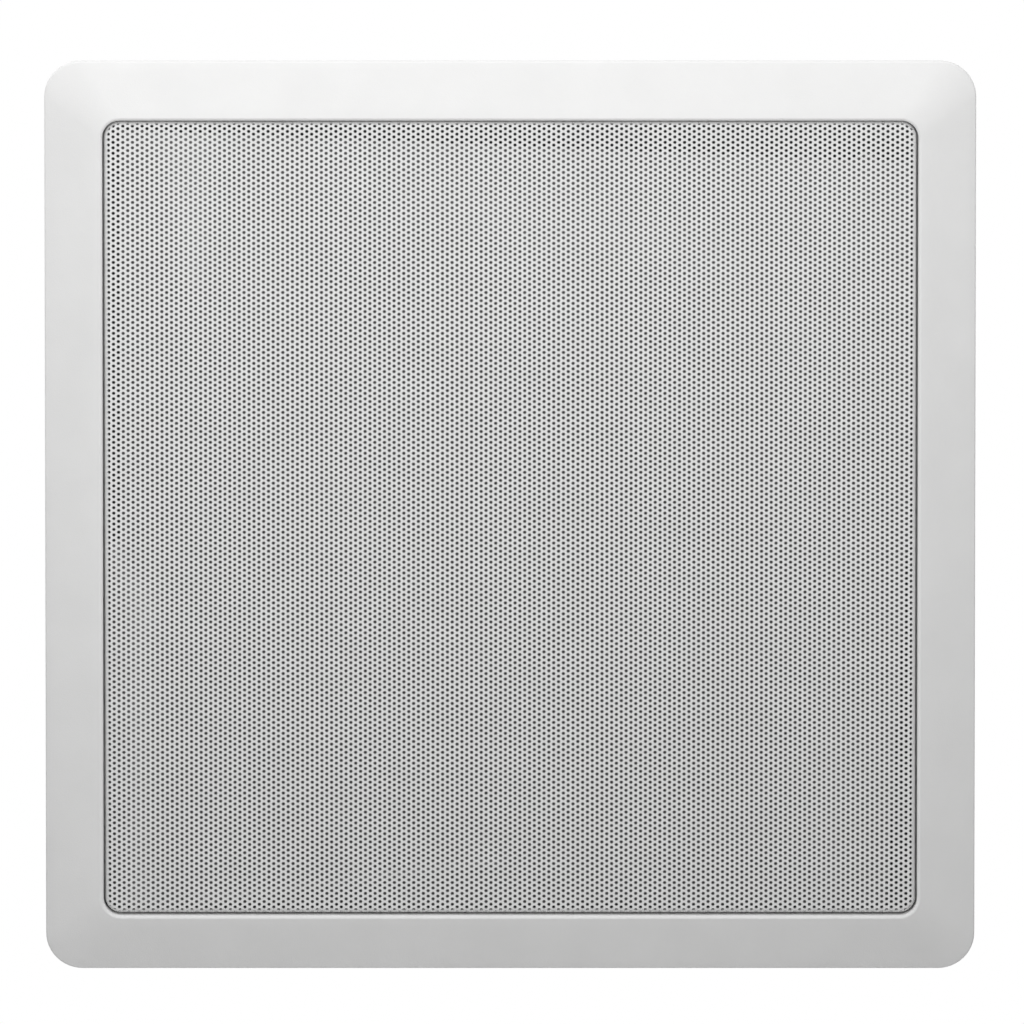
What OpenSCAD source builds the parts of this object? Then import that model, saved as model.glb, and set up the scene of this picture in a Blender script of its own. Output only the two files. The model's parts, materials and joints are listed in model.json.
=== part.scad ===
// Square in-wall loudspeaker: a moulded frame with a wide sloping bezel, a
// perforated steel grille, a ten-inch two-way driver and four swing-out clamps.
// The solids are drawn face up, with z = 0 on the wall plane, z > 0 in the room
// and z < 0 inside the wall, and stand() then turns them to face -Y.

/* [Bezel] */
// Width and height of the frame
front_size = 330; // [322:1:360]
// Radius of the frame's outer corners
corner_r = 13; // [10:0.5:20]
// Width of the bezel, from the outer edge to the grille opening
bezel_w = 20.5; // [20.5:0.5:24]
// Height of the lip round the grille, above the wall
lip_h = 7.5; // [7:0.5:10]
// Thickness of the bezel's outer edge
rim_t = 2; // [1.5:0.1:2.4]
// Corner radius of the grille opening
opening_r = 6.2; // [5.5:0.1:8]
// Radius that rounds the lip over into the opening
lip_round = 1.3; // [0.8:0.1:2]
// Height by which the slope bulges over a straight line
slope_crown = 0.05; // [0:0.05:0.3]
// Wall of the hollow bezel
bezel_wall = 2.2; // [1.8:0.1:2.4]
// Ribs across the hollow bezel, on each side
bezel_ribs = 9; // [5:2:13]

/* [Collar and baffle] */
// Wall of the moulded frame behind the bezel
wall_t = 2.5; // [2:0.1:3]
// Depth of the collar behind the wall plane
collar_d = 22; // [20:1:26]
// Width of the ledge that the grille stands on
ledge_w = 6; // [5:0.5:7]
// Depth of the ledge behind the wall plane
ledge_drop = 0.5; // [0.3:0.1:1]
// Depth of the baffle's front behind the wall plane
well_d = 8; // [7.5:0.5:10]
// Thickness of the baffle
baffle_t = 3.5; // [3:0.1:4]
// Gap between the baffle's hole and the basket
basket_gap = 0.8; // [0.5:0.1:1.2]

/* [Grille] */
// Thickness of the steel sheet
sheet_t = 0.6; // [0.5:0.1:1]
// Gap between the grille and the lip, all round
grille_gap = 0.7; // [0.5:0.1:1]
// Depth of the grille's face below the top of the lip
grille_inset = 1.1; // [0.8:0.1:1.6]
// Outside radius of the grille's folded edge
fold_r = 1.9; // [1.5:0.1:2.4]
// Spacing of the holes drawn here, which stand for the fine perforation
gap_pitch = 27; // [26:0.5:32]
// Radius of the holes drawn here
gap_r = 8; // [6:0.5:9]
// Plain border between the folded edge and the holes
gap_margin = 5; // [3:0.5:8]
// Thickness of the cloth behind the grille
scrim_t = 0.4; // [0.3:0.1:0.6]
// Gap between the grille and the cloth
scrim_gap = 0.3; // [0.2:0.1:0.5]
// Angle at which the cloth was glued, out of square
scrim_tilt = 2.5; // [0:0.1:4]
// Distance from the grille's top edge down to the cloth, halfway across
scrim_drop = 9.5; // [4:0.5:14]
// Distance from the grille's right edge to the cloth, halfway down
scrim_short = 2; // [1.5:0.5:8]

/* [Woofer] */
// Distance from the baffle's edge to the basket's flange
driver_margin = 9; // [7:0.5:12]
// Width of the basket's flange
basket_flange = 12; // [11:0.5:13]
// Steel of the basket
basket_t = 1.2; // [1:0.1:1.5]
// Depth from the flange's front to the top plate
basket_d = 60.2; // [56:0.2:66]
// Depth of the basket's straight wall under the flange
basket_wall_d = 10; // [8:0.5:13]
// Radius of the ledge that carries the spider
landing_r = 62; // [60:0.5:66]
// Height of the basket's neck over the top plate
neck_h = 8; // [7:0.5:11]
// Number of windows in the basket
windows = 12; // [10:1:14]
// Width of the arms between the windows
arm_w = 25; // [23:0.5:29]
// Thickness of the foam ring under the flange
gasket_t = 1; // [0.6:0.1:1.6]
// Thickness of the cone
cone_t = 0.8; // [0.6:0.1:1.2]
// Width of the surround's roll
roll_w = 12.5; // [11:0.5:13]
// Height of the surround's roll
roll_h = 5.4; // [4:0.2:5.6]
// Thickness of the surround
rubber_t = 0.6; // [0.5:0.1:0.8]
// Number of waves in the spider
spider_waves = 5; // [4:1:7]
// Height of the spider's waves, from the middle
spider_amp = 1.3; // [0.8:0.1:1.8]
// Thickness of the spider
spider_t = 0.4; // [0.3:0.1:0.5]
// Outer radius of the voice coil's former
former_r = 19.3; // [17:0.1:21]
// Wall of the former
former_t = 0.3; // [0.2:0.05:0.5]
// Thickness of the winding on the former
winding_t = 0.7; // [0.5:0.1:0.9]
// Length of the winding
winding_l = 12; // [9:0.5:13]
// Clearance on each side of the coil in the magnet's gap
coil_gap = 0.55; // [0.4:0.05:0.8]
// Radius of the top plate
top_plate_r = 56; // [53:0.5:58]
// Step from the edge of the top plate in to the basket's neck
neck_step = 6; // [4:0.5:9]
// Thickness of the top plate
top_plate_t = 6; // [5:0.5:8]
// Radius of the magnet
magnet_r = 62; // [58:0.5:68]
// Radius of the magnet's hole
magnet_hole_r = 30; // [26:0.5:34]
// Thickness of the magnet
magnet_t = 16; // [13:0.5:20]
// Radius of the back plate
back_plate_r = 58; // [54:0.5:64]
// Thickness of the back plate
back_plate_t = 6; // [5:0.5:8]

/* [Tweeter] */
// Radius of the tweeter's housing
tweeter_r = 23; // [21:0.5:26]
// Length of the housing
tweeter_d = 26; // [25:0.5:30]
// Depth of the tweeter's face below the wall plane
tweeter_inset = 3; // [2.5:0.1:5]
// Radius of the dome
dome_r = 12.7; // [11.5:0.1:14]
// Height of the dome
dome_h = 4; // [3:0.1:5]
// Radius of the hollow post that carries the tweeter
post_r = 4; // [3.6:0.1:5]
// Radius of the wire way through the post
post_bore_r = 2; // [1.5:0.1:2.4]

/* [Clamps] */
// Distance of the clamp screws from the collar's outer face
clamp_inset = 21; // [19:0.5:23]
// Radius of the clamp screws
screw_r = 2; // [1.8:0.1:2.3]
// Running clearance of a clamp screw, all round
screw_clearance = 0.08; // [0.05:0.01:0.1]
// Radius of a clamp's hub
hub_r = 6; // [5.5:0.1:6.5]
// Length of a clamp's hub along the screw
hub_l = 12; // [10:0.5:13]
// Reach of a clamp, from the screw's axis
clamp_reach = 36; // [34:0.5:38]
// Height of the gripping pad in front of the arm
pad_h = 4; // [3:0.5:5]
// Length of the gripping pad
pad_l = 7; // [5:0.5:9]
// Thickest wall that the clamps take
wall_max = 42; // [38:1:44]
// Thinnest wall that the clamps take
wall_min = 12.5; // [12.5:0.5:16]
// Clearance between a clamp and the guide that stops it
guide_gap = 0.3; // [0.2:0.1:0.6]

/* [Crossover] */
// Height of the crossover board
board_h = 29; // [27:0.5:31]
// Thickness of the crossover board
board_t = 1.6; // [1.2:0.1:2]
// Height of the pillars under the board
pillar_h = 10.5; // [9:0.5:13]
// Travel of a terminal's tab
tab_travel = 3; // [2:0.1:4]

/* [Hidden] */

// Circles are true arcs in the solids, and lofted corners take corner_steps flats each
$fn = 96;
corner_steps = 12;
// Overrun of every cut past the face that it opens
cut = 1;

// Sizes of the moulded frame
half = front_size / 2;
opening_half = half - bezel_w;
collar_half = opening_half + wall_t;
collar_r = opening_r + wall_t;
well_half = opening_half - ledge_w;
well_r = opening_r;
ledge_z = -ledge_drop;
baffle_z = -well_d;
basket_r = well_half - wall_t - driver_margin;
baffle_back_z = baffle_z - baffle_t;
edge_round = 0.5;
channel_inner_half = collar_half + bezel_wall;
rib_t = 1.6;
ring_rib_h = 4.5;
ring_rib_gap = 2;
collar_rib_d = 13;
collar_ribs = 5;

// Sizes of the grille
grille_half = opening_half - grille_gap;
grille_r = opening_r - grille_gap;
grille_z = lip_h - grille_inset;
scrim_half = grille_half - fold_r - scrim_gap;
scrim_r = grille_r - fold_r;
scrim_z = grille_z - sheet_t - scrim_gap;

// Sizes of the woofer, from its flange back to its magnet
flange_z = baffle_z + gasket_t + basket_t;
basket_wall_r = basket_r - basket_flange;
baffle_hole_r = basket_wall_r + basket_gap;
plate_z = flange_z - basket_d;
neck_r = top_plate_r - neck_step;
landing_z = plate_z + neck_h;
magnet_z = plate_z - top_plate_t;
yoke_z = magnet_z - magnet_t;
yoke_back_z = yoke_z - back_plate_t;
plate_edge = 0.8;
gap_outer_r = former_r + winding_t + coil_gap;
pole_r = former_r - former_t - coil_gap;
pole_rise = 1.5;
surround_lip = 3;
surround_foot = 2;
roll_lap = 0.5;
roll_end_r = basket_wall_r + roll_lap;
cone_r = roll_end_r - roll_w;
glue = 0.05;
neck_collar_h = 3;
cone_neck_h = 11;
cone_neck_z = landing_z + cone_neck_h;
former_rise = 4;
former_front_z = cone_neck_z + former_rise;
winding_z = plate_z - top_plate_t / 2;
former_tail = 1.8;
former_back_z = winding_z - winding_l / 2 - former_tail;
window_edge = 9;
window_foot = 7;
window_outer_r = basket_wall_r - window_edge;
window_inner_r = landing_r + window_foot;

// Fasteners of the woofer
flange_screws = 8;
flange_screw_r = 1.5;
flange_screw_l = 12;
flange_edge = 4.6;
flange_pitch_r = basket_r - flange_edge;
flange_head_r = 3.4;
flange_head_h = 2;
boss_wall = 2.2;
boss_h = 9;
cross_w = 0.9;
basket_hole_gap = 2.5;

// Sizes of the tweeter and its post
tweeter_z = -tweeter_inset;
tweeter_back_z = tweeter_z - tweeter_d;
tweeter_wall = 2;
face_t = 2.2;
pot_wall = 1.9;
pot_gap = 0.9;
tweeter_former_t = 0.4;
tweeter_plug_t = 2.5;
tweeter_magnet_t = 6;
pot_floor = 3;
dome_t = 0.3;
shoulder_r = 10;
shoulder_t = 4;
nut_h = 4.5;
nut_r = 7.5;

// Sizes of the clamps
clamp_xy = collar_half - clamp_inset;
head_r = 3.9;
head_h = 2.6;
head_seat_z = baffle_z - head_h;
boss_r = 5.5;
clamp_boss_h = 4;
hub_rest_z = -wall_max - pad_h;
tail_swell = 0.7;
tail_r = screw_r + tail_swell;
tail_h = 1.5;
tail_gap = 2.5;
tail_z = hub_rest_z - hub_l - tail_gap;
guide_t = 2.2;
guide_d = wall_max + pad_h + hub_l;
guide_near = hub_r + guide_gap;
guide_far = guide_near + guide_t;
guide_nose = 3;
slot_gap = 1;
arm_tip_t = 6;
tooth_h = 1;
teeth = 3;

// Sizes of the crossover's parts
part_gap = 2;
inductor_r = 12;
inductor_core_r = 5;
inductor_h = 13;
inductor_cheek = 1.5;
cap_large_r = 6;
cap_large_inset = 2.5;
cap_small_r = 4;
cap_small_inset = 4.5;
resistor_w = 6;
resistor_inset = 3.5;
resistor_h = 7;
terminal_w = 24;
terminal_l = 17;
terminal_h = 11;
terminal_pitch = 11;
terminal_wall = 2;
wire_r = 1.6;
wire_d = 6;
tab_w = 6.4;
tab_l = 5;
tab_gap = 0.25;
tab_cap = 1;
tab_head = 2.4;

// The board holds its parts in a row, a part_gap from each other, between two pairs of pillars
pillar_r = 3.2;
pillar_inset = 4.5;
board_gap = 1.5;
row_w = 2 * inductor_r + 2 * cap_large_r + 2 * cap_small_r + resistor_w + terminal_w + 4 * part_gap;
board_w = row_w + 4 * pillar_inset;
board_y = -collar_half + wall_t + board_gap;
board_top_y = board_y + board_h;
board_z = baffle_back_z - pillar_h;
board_back_z = board_z - board_t;
pillar_x = board_w / 2 - pillar_inset;
board_screw_r = 1.3;
board_screw_l = 8;
board_head_r = 2.6;
board_head_h = 1.8;
part_y = (board_y + board_top_y) / 2;
inductor_x = -row_w / 2 + inductor_r;
cap_large_x = inductor_x + inductor_r + part_gap + cap_large_r;
cap_small_x = cap_large_x + cap_large_r + part_gap + cap_small_r;
resistor_x = cap_small_x + cap_small_r + part_gap + resistor_w / 2;
terminal_x = resistor_x + resistor_w / 2 + part_gap + terminal_w / 2;

// Sizes of the woofer's terminals
tag_w = 24;
tag_t = 1.6;
tag_h = 5;
lug_pitch = 13;
lug_w = 2.8;
lug_l = 7;
lug_t = 0.8;

// Places that the drawing is turned to

// Stands a face-up drawing on the wall, facing -Y
module stand() {
    rotate([90, 0, 0]) children();
}

// A copy for each of the four corners, by its signs across and up
module at_corner(across, up) {
    translate([across * clamp_xy, up * clamp_xy, 0]) mirror([across < 0 ? 1 : 0, 0, 0])
        mirror([0, up < 0 ? 1 : 0, 0]) children();
}

// Outlines, profiles and lofts

function unit(v) = v / norm(v);
function left_of(a, b) = let (d = unit(b - a)) [-d[1], d[0]];

// The point that lies t to the left of a path's corner i
function beside(path, i, t) =
    let (before = left_of(path[max(i - 1, 0)], path[max(i, 1)]))
    let (last = len(path) - 1)
    let (after = left_of(path[min(i, last - 1)], path[min(i + 1, last)]))
    let (way = unit(before + after))
    path[i] + way * t / (way * before);

// A sheet of thickness t whose one side is the path, as a closed outline
function sheet(path, t) =
    concat(path, [for (i = [len(path) - 1:-1:0]) beside(path, i, t)]);

// Points of a rounded square at height z, corner by corner
function rounded(h, r, z) = [
    for (q = [0:3], i = [0:corner_steps])
        let (a = 90 * (q + i / corner_steps))
        let (m = 45 + 90 * q)
        [(h - r) * sign(cos(m)) + r * cos(a), (h - r) * sign(sin(m)) + r * sin(a), z]
];

function flat_points(h, r) = [for (p = rounded(h, r, 0)) [p[0], p[1]]];

// A solid through a closed or capped row of rounded squares, each [half, radius, height]
module loft(rows, closed = false) {
    per_row = 4 * (corner_steps + 1);
    spans = closed ? len(rows) : len(rows) - 1;
    skin_faces = [
        for (k = [0:spans - 1], j = [0:per_row - 1])
            let (up = (k + 1) % len(rows))
            let (on = (j + 1) % per_row)
            [k * per_row + j, up * per_row + j, up * per_row + on, k * per_row + on]
    ];
    end_faces = closed ? [] : [
        [for (j = [0:per_row - 1]) j],
        [for (j = [per_row - 1:-1:0]) (len(rows) - 1) * per_row + j]
    ];
    polyhedron(
        points = [for (s = rows) each rounded(s[0], s[1], s[2])],
        faces = concat(skin_faces, end_faces)
    );
}

// A rounded square plate from height z0 up to z1
module plate(h, r, z0, z1) {
    translate([0, 0, z0]) linear_extrude(z1 - z0) polygon(flat_points(h, r));
}

// A rounded square tube from height z0 up to z1
module tube(h, r, wall, z0, z1) {
    translate([0, 0, z0]) linear_extrude(z1 - z0) difference() {
        polygon(flat_points(h, r));
        polygon(flat_points(h - wall, max(r - wall, wall / 4)));
    }
}

module rod(r, z0, z1) {
    translate([0, 0, z0]) cylinder(r = r, h = z1 - z0);
}

module ring(r_out, r_in, z0, z1) {
    difference() {
        rod(r_out, z0, z1);
        rod(r_in, z0 - cut, z1 + cut);
    }
}

// A box by its low and high corners
module block(low, high) {
    translate(low) cube(high - low);
}

// A pan head with a cross recess, seated at z and standing towards +z
module pan_head(r, h, z) {
    difference() {
        rod(r, z, z + h);
        for (turn = [0, 90])
            rotate(turn) block([-r * 0.65, -cross_w / 2, z + h * 0.4], [r * 0.65, cross_w / 2, z + h + cut]);
    }
}

// Moulded frame

// Height of the bezel's face at an inset from the outer edge
slope_start = edge_round;
slope_end = bezel_w - lip_round;
function slope_z(inset) =
    let (s = (inset - slope_start) / (slope_end - slope_start))
    rim_t + edge_round / 3 + (lip_h - rim_t - edge_round / 3) * s + 4 * slope_crown * s * (1 - s);

// Corner radius of the bezel's contour at an inset
function slope_r(inset) =
    let (s = (inset - slope_start) / (slope_end - slope_start))
    (corner_r - slope_start) * (1 - s) + (opening_r + lip_round) * s;

slope_steps = 5;
lip_steps = 5;
bezel_rows = concat(
    [[half, corner_r, 0], [half, corner_r, rim_t - edge_round]],
    [[half - edge_round * 0.3, corner_r - edge_round * 0.3, rim_t - edge_round * 0.25]],
    [
        for (i = [0:slope_steps])
            let (inset = slope_start + (slope_end - slope_start) * i / slope_steps)
            [half - inset, slope_r(inset), slope_z(inset)]
    ],
    [
        for (i = [1:lip_steps])
            let (a = 90 * i / lip_steps)
            [
                opening_half + lip_round * (1 - sin(a)),
                opening_r + lip_round * (1 - sin(a)),
                lip_h - lip_round * (1 - cos(a))
            ]
    ],
    [[opening_half, opening_r, 0]]
);

// The hollow behind the slope, kept one wall away from the face
channel_r = collar_r + bezel_wall;
channel_rows = [
    [half - bezel_wall, corner_r - bezel_wall, -cut],
    [half - bezel_wall, corner_r - bezel_wall, rim_t - bezel_wall / 2],
    [half - 2 * bezel_wall, corner_r - 2 * bezel_wall, slope_z(2 * bezel_wall) - bezel_wall],
    [channel_inner_half, channel_r, slope_z(half - channel_inner_half) - bezel_wall],
    [channel_inner_half, channel_r, -cut]
];

module bezel() {
    difference() {
        loft(bezel_rows, closed = true);
        difference() {
            loft(channel_rows, closed = true);
            for (side = [0:3], i = [0:bezel_ribs - 1])
                rotate(90 * side) translate([0, (i - (bezel_ribs - 1) / 2) * 2 * well_half / bezel_ribs, 0])
                    block([opening_half, -rib_t / 2, 0], [half, rib_t / 2, lip_h]);
        }
    }
}

// The channel behind a clamp's boss, drawn for the top right corner: a round back, an
// inner wall beside the stowed clamp, and an outer wall that stops the clamp swung out
module clamp_guide() {
    intersection() {
        ring(guide_far, guide_near, -guide_d, baffle_back_z + cut);
        block([-guide_far, 0, -guide_d - cut], [0, guide_far, 0]);
    }
    translate([-guide_near, 0, 0]) rotate([90, 0, -90]) linear_extrude(guide_t)
        guide_wall(hub_r + guide_nose, 3 * hub_r);
    translate([0, guide_far, 0]) rotate([90, 0, 0]) linear_extrude(guide_t)
        guide_wall(hub_r + guide_nose, clamp_inset);
}

// A wall of the channel: narrow along the screw, and wider inside the collar, where it stiffens the baffle
module guide_wall(narrow, wide) {
    polygon([
        [0, baffle_back_z + cut], [wide, baffle_back_z + cut], [wide, -collar_d],
        [narrow, -collar_d - wide + narrow], [narrow, -guide_d + guide_nose],
        [narrow - guide_nose, -guide_d], [0, -guide_d]
    ]);
}

module frame() {
    color("white") difference() {
        union() {
            bezel();
            tube(collar_half, collar_r, wall_t, -collar_d, rim_t);
            tube(opening_half + wall_t / 2, opening_r + wall_t / 2, ledge_w + wall_t, ledge_z - wall_t, ledge_z);
            tube(well_half, well_r, wall_t, baffle_z, ledge_z - wall_t / 2);
            plate(well_half, well_r, baffle_back_z, baffle_z);
            ring(basket_r + ring_rib_gap + wall_t, basket_r + ring_rib_gap, baffle_back_z - ring_rib_h, baffle_back_z);
            for (side = [0:3], i = [0:collar_ribs - 1])
                rotate(90 * side) translate([0, (i - (collar_ribs - 1) / 2) * well_half / collar_ribs, 0])
                    block(
                        [well_half - wall_t, -rib_t / 2, -collar_rib_d],
                        [collar_half - wall_t / 2, rib_t / 2, ledge_z - wall_t / 2]
                    );
            for (i = [0:flange_screws - 1])
                rotate((i + 0.5) * 360 / flange_screws) translate([flange_pitch_r, 0, 0])
                    rod(flange_screw_r + boss_wall, baffle_back_z - boss_h, baffle_z - baffle_t / 2);
            for (across = [-1, 1], up = [-1, 1]) at_corner(across, up) {
                rod(boss_r, baffle_back_z - clamp_boss_h, baffle_z - baffle_t / 2);
                clamp_guide();
            }
            for (across = [-1, 1], y = [board_y + pillar_inset, board_top_y - pillar_inset])
                translate([across * pillar_x, y, 0]) rod(pillar_r, board_z, baffle_z - baffle_t / 2);
        }
        rod(baffle_hole_r, baffle_back_z - cut, baffle_z + cut);
        for (i = [0:flange_screws - 1])
            rotate((i + 0.5) * 360 / flange_screws) translate([flange_pitch_r, 0, 0])
                rod(flange_screw_r + glue, baffle_back_z - boss_h - cut, baffle_z + cut);
        for (across = [-1, 1], up = [-1, 1]) at_corner(across, up) {
            rod(screw_r + screw_clearance, baffle_back_z - clamp_boss_h - cut, baffle_z + cut);
            rod(head_r + guide_gap, head_seat_z, baffle_z + cut);
            block(
                [clamp_inset - 2 * wall_t, -hub_r - slot_gap, -collar_d - cut],
                [clamp_inset + cut, hub_r + guide_gap, -wall_min + slot_gap / 2]
            );
        }
        for (across = [-1, 1], y = [board_y + pillar_inset, board_top_y - pillar_inset])
            translate([across * pillar_x, y, 0])
                rod(board_screw_r + glue, board_z - cut, board_z + board_screw_l - board_t);
    }
}

// Grille and cloth

fold_steps = 5;
function fold_rows(r, z_top, h, corner) = [
    for (i = [0:fold_steps])
        let (a = 90 * i / fold_steps)
        [h - r * (1 - cos(a)), corner - r * (1 - cos(a)), z_top - r * (1 - sin(a))]
];
grille_outer_rows = concat([[grille_half, grille_r, ledge_z]], fold_rows(fold_r, grille_z, grille_half, grille_r));
grille_inner_rows = concat(
    [[grille_half - sheet_t, grille_r - sheet_t, ledge_z - cut]],
    fold_rows(fold_r - sheet_t, grille_z - sheet_t, grille_half - sheet_t, grille_r - sheet_t)
);

// Staggered rows of holes, with columns 30 degrees closer than their pitch
column_step = gap_pitch * sin(60);
gap_reach = grille_half - fold_r - gap_margin - gap_r;
columns = floor(gap_reach / column_step);
module grille_gaps() {
    for (c = [-columns:columns])
        let (shift = abs(c) % 2 * gap_pitch / 2)
        let (rows = floor((gap_reach + shift) / gap_pitch))
        for (i = [-rows:rows - (shift > 0 ? 1 : 0)])
            let (y = i * gap_pitch + shift)
            if (abs(y) <= gap_reach)
                translate([c * column_step, y, 0]) rod(gap_r, grille_z - sheet_t - cut, grille_z + cut);
}

module grille() {
    color("whitesmoke") difference() {
        loft(grille_outer_rows);
        loft(grille_inner_rows);
        grille_gaps();
    }
}

// The cloth was glued askew, so it stops short at the top and on the right, and the grille trims the rest
module grille_scrim() {
    color("lightgray") intersection() {
        plate(scrim_half, scrim_r, scrim_z - scrim_t, scrim_z);
        rotate(-scrim_tilt) block(
            [-front_size, -front_size, scrim_z - front_size],
            [grille_half - scrim_short, grille_half - scrim_drop, scrim_z + front_size]
        );
    }
}

// Woofer

module woofer_gasket() {
    color("dimgray") difference() {
        ring(basket_r, baffle_hole_r, baffle_z, baffle_z + gasket_t);
        flange_holes(baffle_z);
    }
}

module flange_holes(z) {
    for (i = [0:flange_screws - 1])
        rotate((i + 0.5) * 360 / flange_screws) translate([flange_pitch_r, 0, 0])
            rod(flange_screw_r + glue, z - cut, flange_z + cut);
}

// The basket's front surface, from its flange in to its neck
basket_path = [
    [basket_r, flange_z],
    [basket_wall_r, flange_z],
    [basket_wall_r - basket_t, flange_z - basket_t],
    [basket_wall_r - basket_t, flange_z - basket_wall_d],
    [landing_r, landing_z],
    [neck_r, landing_z],
    [neck_r, plate_z + basket_t],
    [gap_outer_r + basket_hole_gap, plate_z + basket_t]
];

module woofer_basket() {
    color("darkslategray") difference() {
        rotate_extrude() polygon(sheet(basket_path, basket_t));
        flange_holes(baffle_z);
        translate([0, 0, landing_z - basket_t]) linear_extrude(basket_d) difference() {
            circle(window_outer_r);
            circle(window_inner_r);
            for (i = [0:windows - 1])
                rotate(i * 360 / windows) translate([0, -arm_w / 2]) square([basket_r, arm_w]);
        }
    }
}

module woofer_screws() {
    color("black") for (i = [0:flange_screws - 1])
        rotate((i + 0.5) * 360 / flange_screws) translate([flange_pitch_r, 0, 0]) {
            pan_head(flange_head_r, flange_head_h, flange_z);
            rod(flange_screw_r, flange_z - flange_screw_l, flange_z);
        }
}

// The roll is half an ellipse between the cone's edge and the flange
roll_steps = 10;
surround_path = concat(
    [[cone_r - surround_lip, flange_z]],
    [
        for (i = [0:roll_steps])
            let (a = 180 - 180 * i / roll_steps)
            [cone_r + roll_w / 2 * (1 + cos(a)), flange_z + (roll_h - rubber_t) * sin(a)]
    ],
    [[basket_wall_r + surround_foot, flange_z]]
);

module woofer_surround() {
    color("black") rotate_extrude() polygon(sheet(surround_path, rubber_t));
}

// The cone's front surface, from its flat rim down to its neck
cone_steps = 7;
cone_bow_share = 0.06;
cone_path = concat(
    [[cone_r, flange_z - cone_t / 4], [cone_r - surround_lip, flange_z - cone_t / 4]],
    [
        for (i = [1:cone_steps])
            let (s = i / cone_steps)
            let (span = cone_r - surround_lip - former_r - cone_t)
            [
                cone_r - surround_lip - span * s,
                flange_z + (cone_neck_z - flange_z) * (s - 4 * cone_bow_share * s * (1 - s))
            ]
    ],
    [[former_r + cone_t, cone_neck_z - neck_collar_h]]
);

module woofer_cone() {
    color("dimgray") difference() {
        rotate_extrude() polygon(sheet(cone_path, cone_t));
        rod(former_r + glue, plate_z, flange_z);
    }
}

// The spider's front surface, with flats at both ends
spider_steps = 8 * spider_waves;
spider_in_r = former_r + wall_t;
spider_out_r = neck_r - basket_t;
spider_z = landing_z + spider_t;
spider_path = concat(
    [[former_r + glue, spider_z]],
    [
        for (i = [0:spider_steps])
            let (s = i / spider_steps)
            [
                spider_in_r + (spider_out_r - spider_in_r) * s,
                spider_z + spider_amp * sin(360 * spider_waves * s)
            ]
    ],
    [[landing_r - basket_t, spider_z]]
);

module spider() {
    color("goldenrod") rotate_extrude() polygon(sheet(spider_path, -spider_t));
}

module coil_former() {
    color("silver") ring(former_r, former_r - former_t, former_back_z, former_front_z);
}

module voice_coil() {
    color("sienna")
        ring(former_r + winding_t, former_r + glue, winding_z - winding_l / 2, winding_z + winding_l / 2);
}

module top_plate() {
    color("silver") difference() {
        rotate_extrude() polygon([
            [gap_outer_r, magnet_z], [top_plate_r, magnet_z], [top_plate_r, plate_z - plate_edge],
            [top_plate_r - plate_edge, plate_z], [gap_outer_r, plate_z]
        ]);
    }
}

module magnet() {
    color("darkgray") rotate_extrude() polygon([
        [magnet_hole_r, yoke_z], [magnet_r - plate_edge, yoke_z], [magnet_r, yoke_z + plate_edge],
        [magnet_r, magnet_z - plate_edge], [magnet_r - plate_edge, magnet_z], [magnet_hole_r, magnet_z]
    ]);
}

module pole_yoke() {
    color("silver") rotate_extrude() polygon([
        [post_r + glue, yoke_back_z], [back_plate_r - plate_edge, yoke_back_z],
        [back_plate_r, yoke_back_z + plate_edge], [back_plate_r, yoke_z], [pole_r, yoke_z],
        [pole_r, plate_z + pole_rise], [post_r + glue, plate_z + pole_rise]
    ]);
}

// Tweeter on its post

post_seat_z = plate_z + pole_rise;
post_stem_r = post_r * 1.5;
module tweeter_post() {
    color("dimgray") rotate_extrude() polygon([
        [post_bore_r, yoke_back_z - nut_h - tail_h], [post_r, yoke_back_z - nut_h - tail_h],
        [post_r, post_seat_z], [shoulder_r, post_seat_z], [shoulder_r, post_seat_z + shoulder_t / 2],
        [post_stem_r, post_seat_z + shoulder_t], [post_stem_r, tweeter_back_z],
        [post_bore_r, tweeter_back_z]
    ]);
}

module post_nut() {
    color("silver") difference() {
        translate([0, 0, yoke_back_z - nut_h]) cylinder(r = nut_r, h = nut_h, $fn = 6);
        rod(post_r + glue, yoke_back_z - nut_h - cut, yoke_back_z + cut);
    }
}

pot_z = tweeter_z - face_t;
pot_in_r = dome_r + pot_gap;
pot_out_r = pot_in_r + pot_wall;
plug_z = pot_z - tweeter_plug_t;
pot_magnet_z = plug_z - tweeter_magnet_t;
pot_back_z = pot_magnet_z - pot_floor;

module tweeter_housing() {
    color("dimgray") difference() {
        rotate_extrude() polygon([
            [0, tweeter_back_z], [post_stem_r + tweeter_wall, tweeter_back_z],
            [tweeter_r - tweeter_wall, tweeter_back_z + tweeter_d / 3], [tweeter_r, tweeter_back_z + tweeter_d / 2],
            [tweeter_r, pot_z], [pot_out_r + glue, pot_z], [pot_out_r + glue, pot_back_z], [0, pot_back_z]
        ]);
        rod(post_bore_r, tweeter_back_z - cut, pot_back_z + cut);
    }
}

module tweeter_yoke() {
    color("silver") difference() {
        rod(pot_out_r, pot_back_z, pot_z);
        rod(pot_in_r, pot_magnet_z, pot_z + cut);
        rod(post_bore_r, pot_back_z - cut, pot_z + cut);
    }
}

module tweeter_magnet() {
    color("silver") rod(dome_r - 2 * pot_gap, pot_magnet_z, plug_z);
}

module tweeter_plate() {
    color("silver") rod(dome_r - pot_gap, plug_z, pot_z - pot_gap / 2);
}

module tweeter_coil() {
    color("sienna") ring(dome_r - glue, dome_r - tweeter_former_t, plug_z - tweeter_plug_t / 2, pot_z - glue);
}

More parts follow.
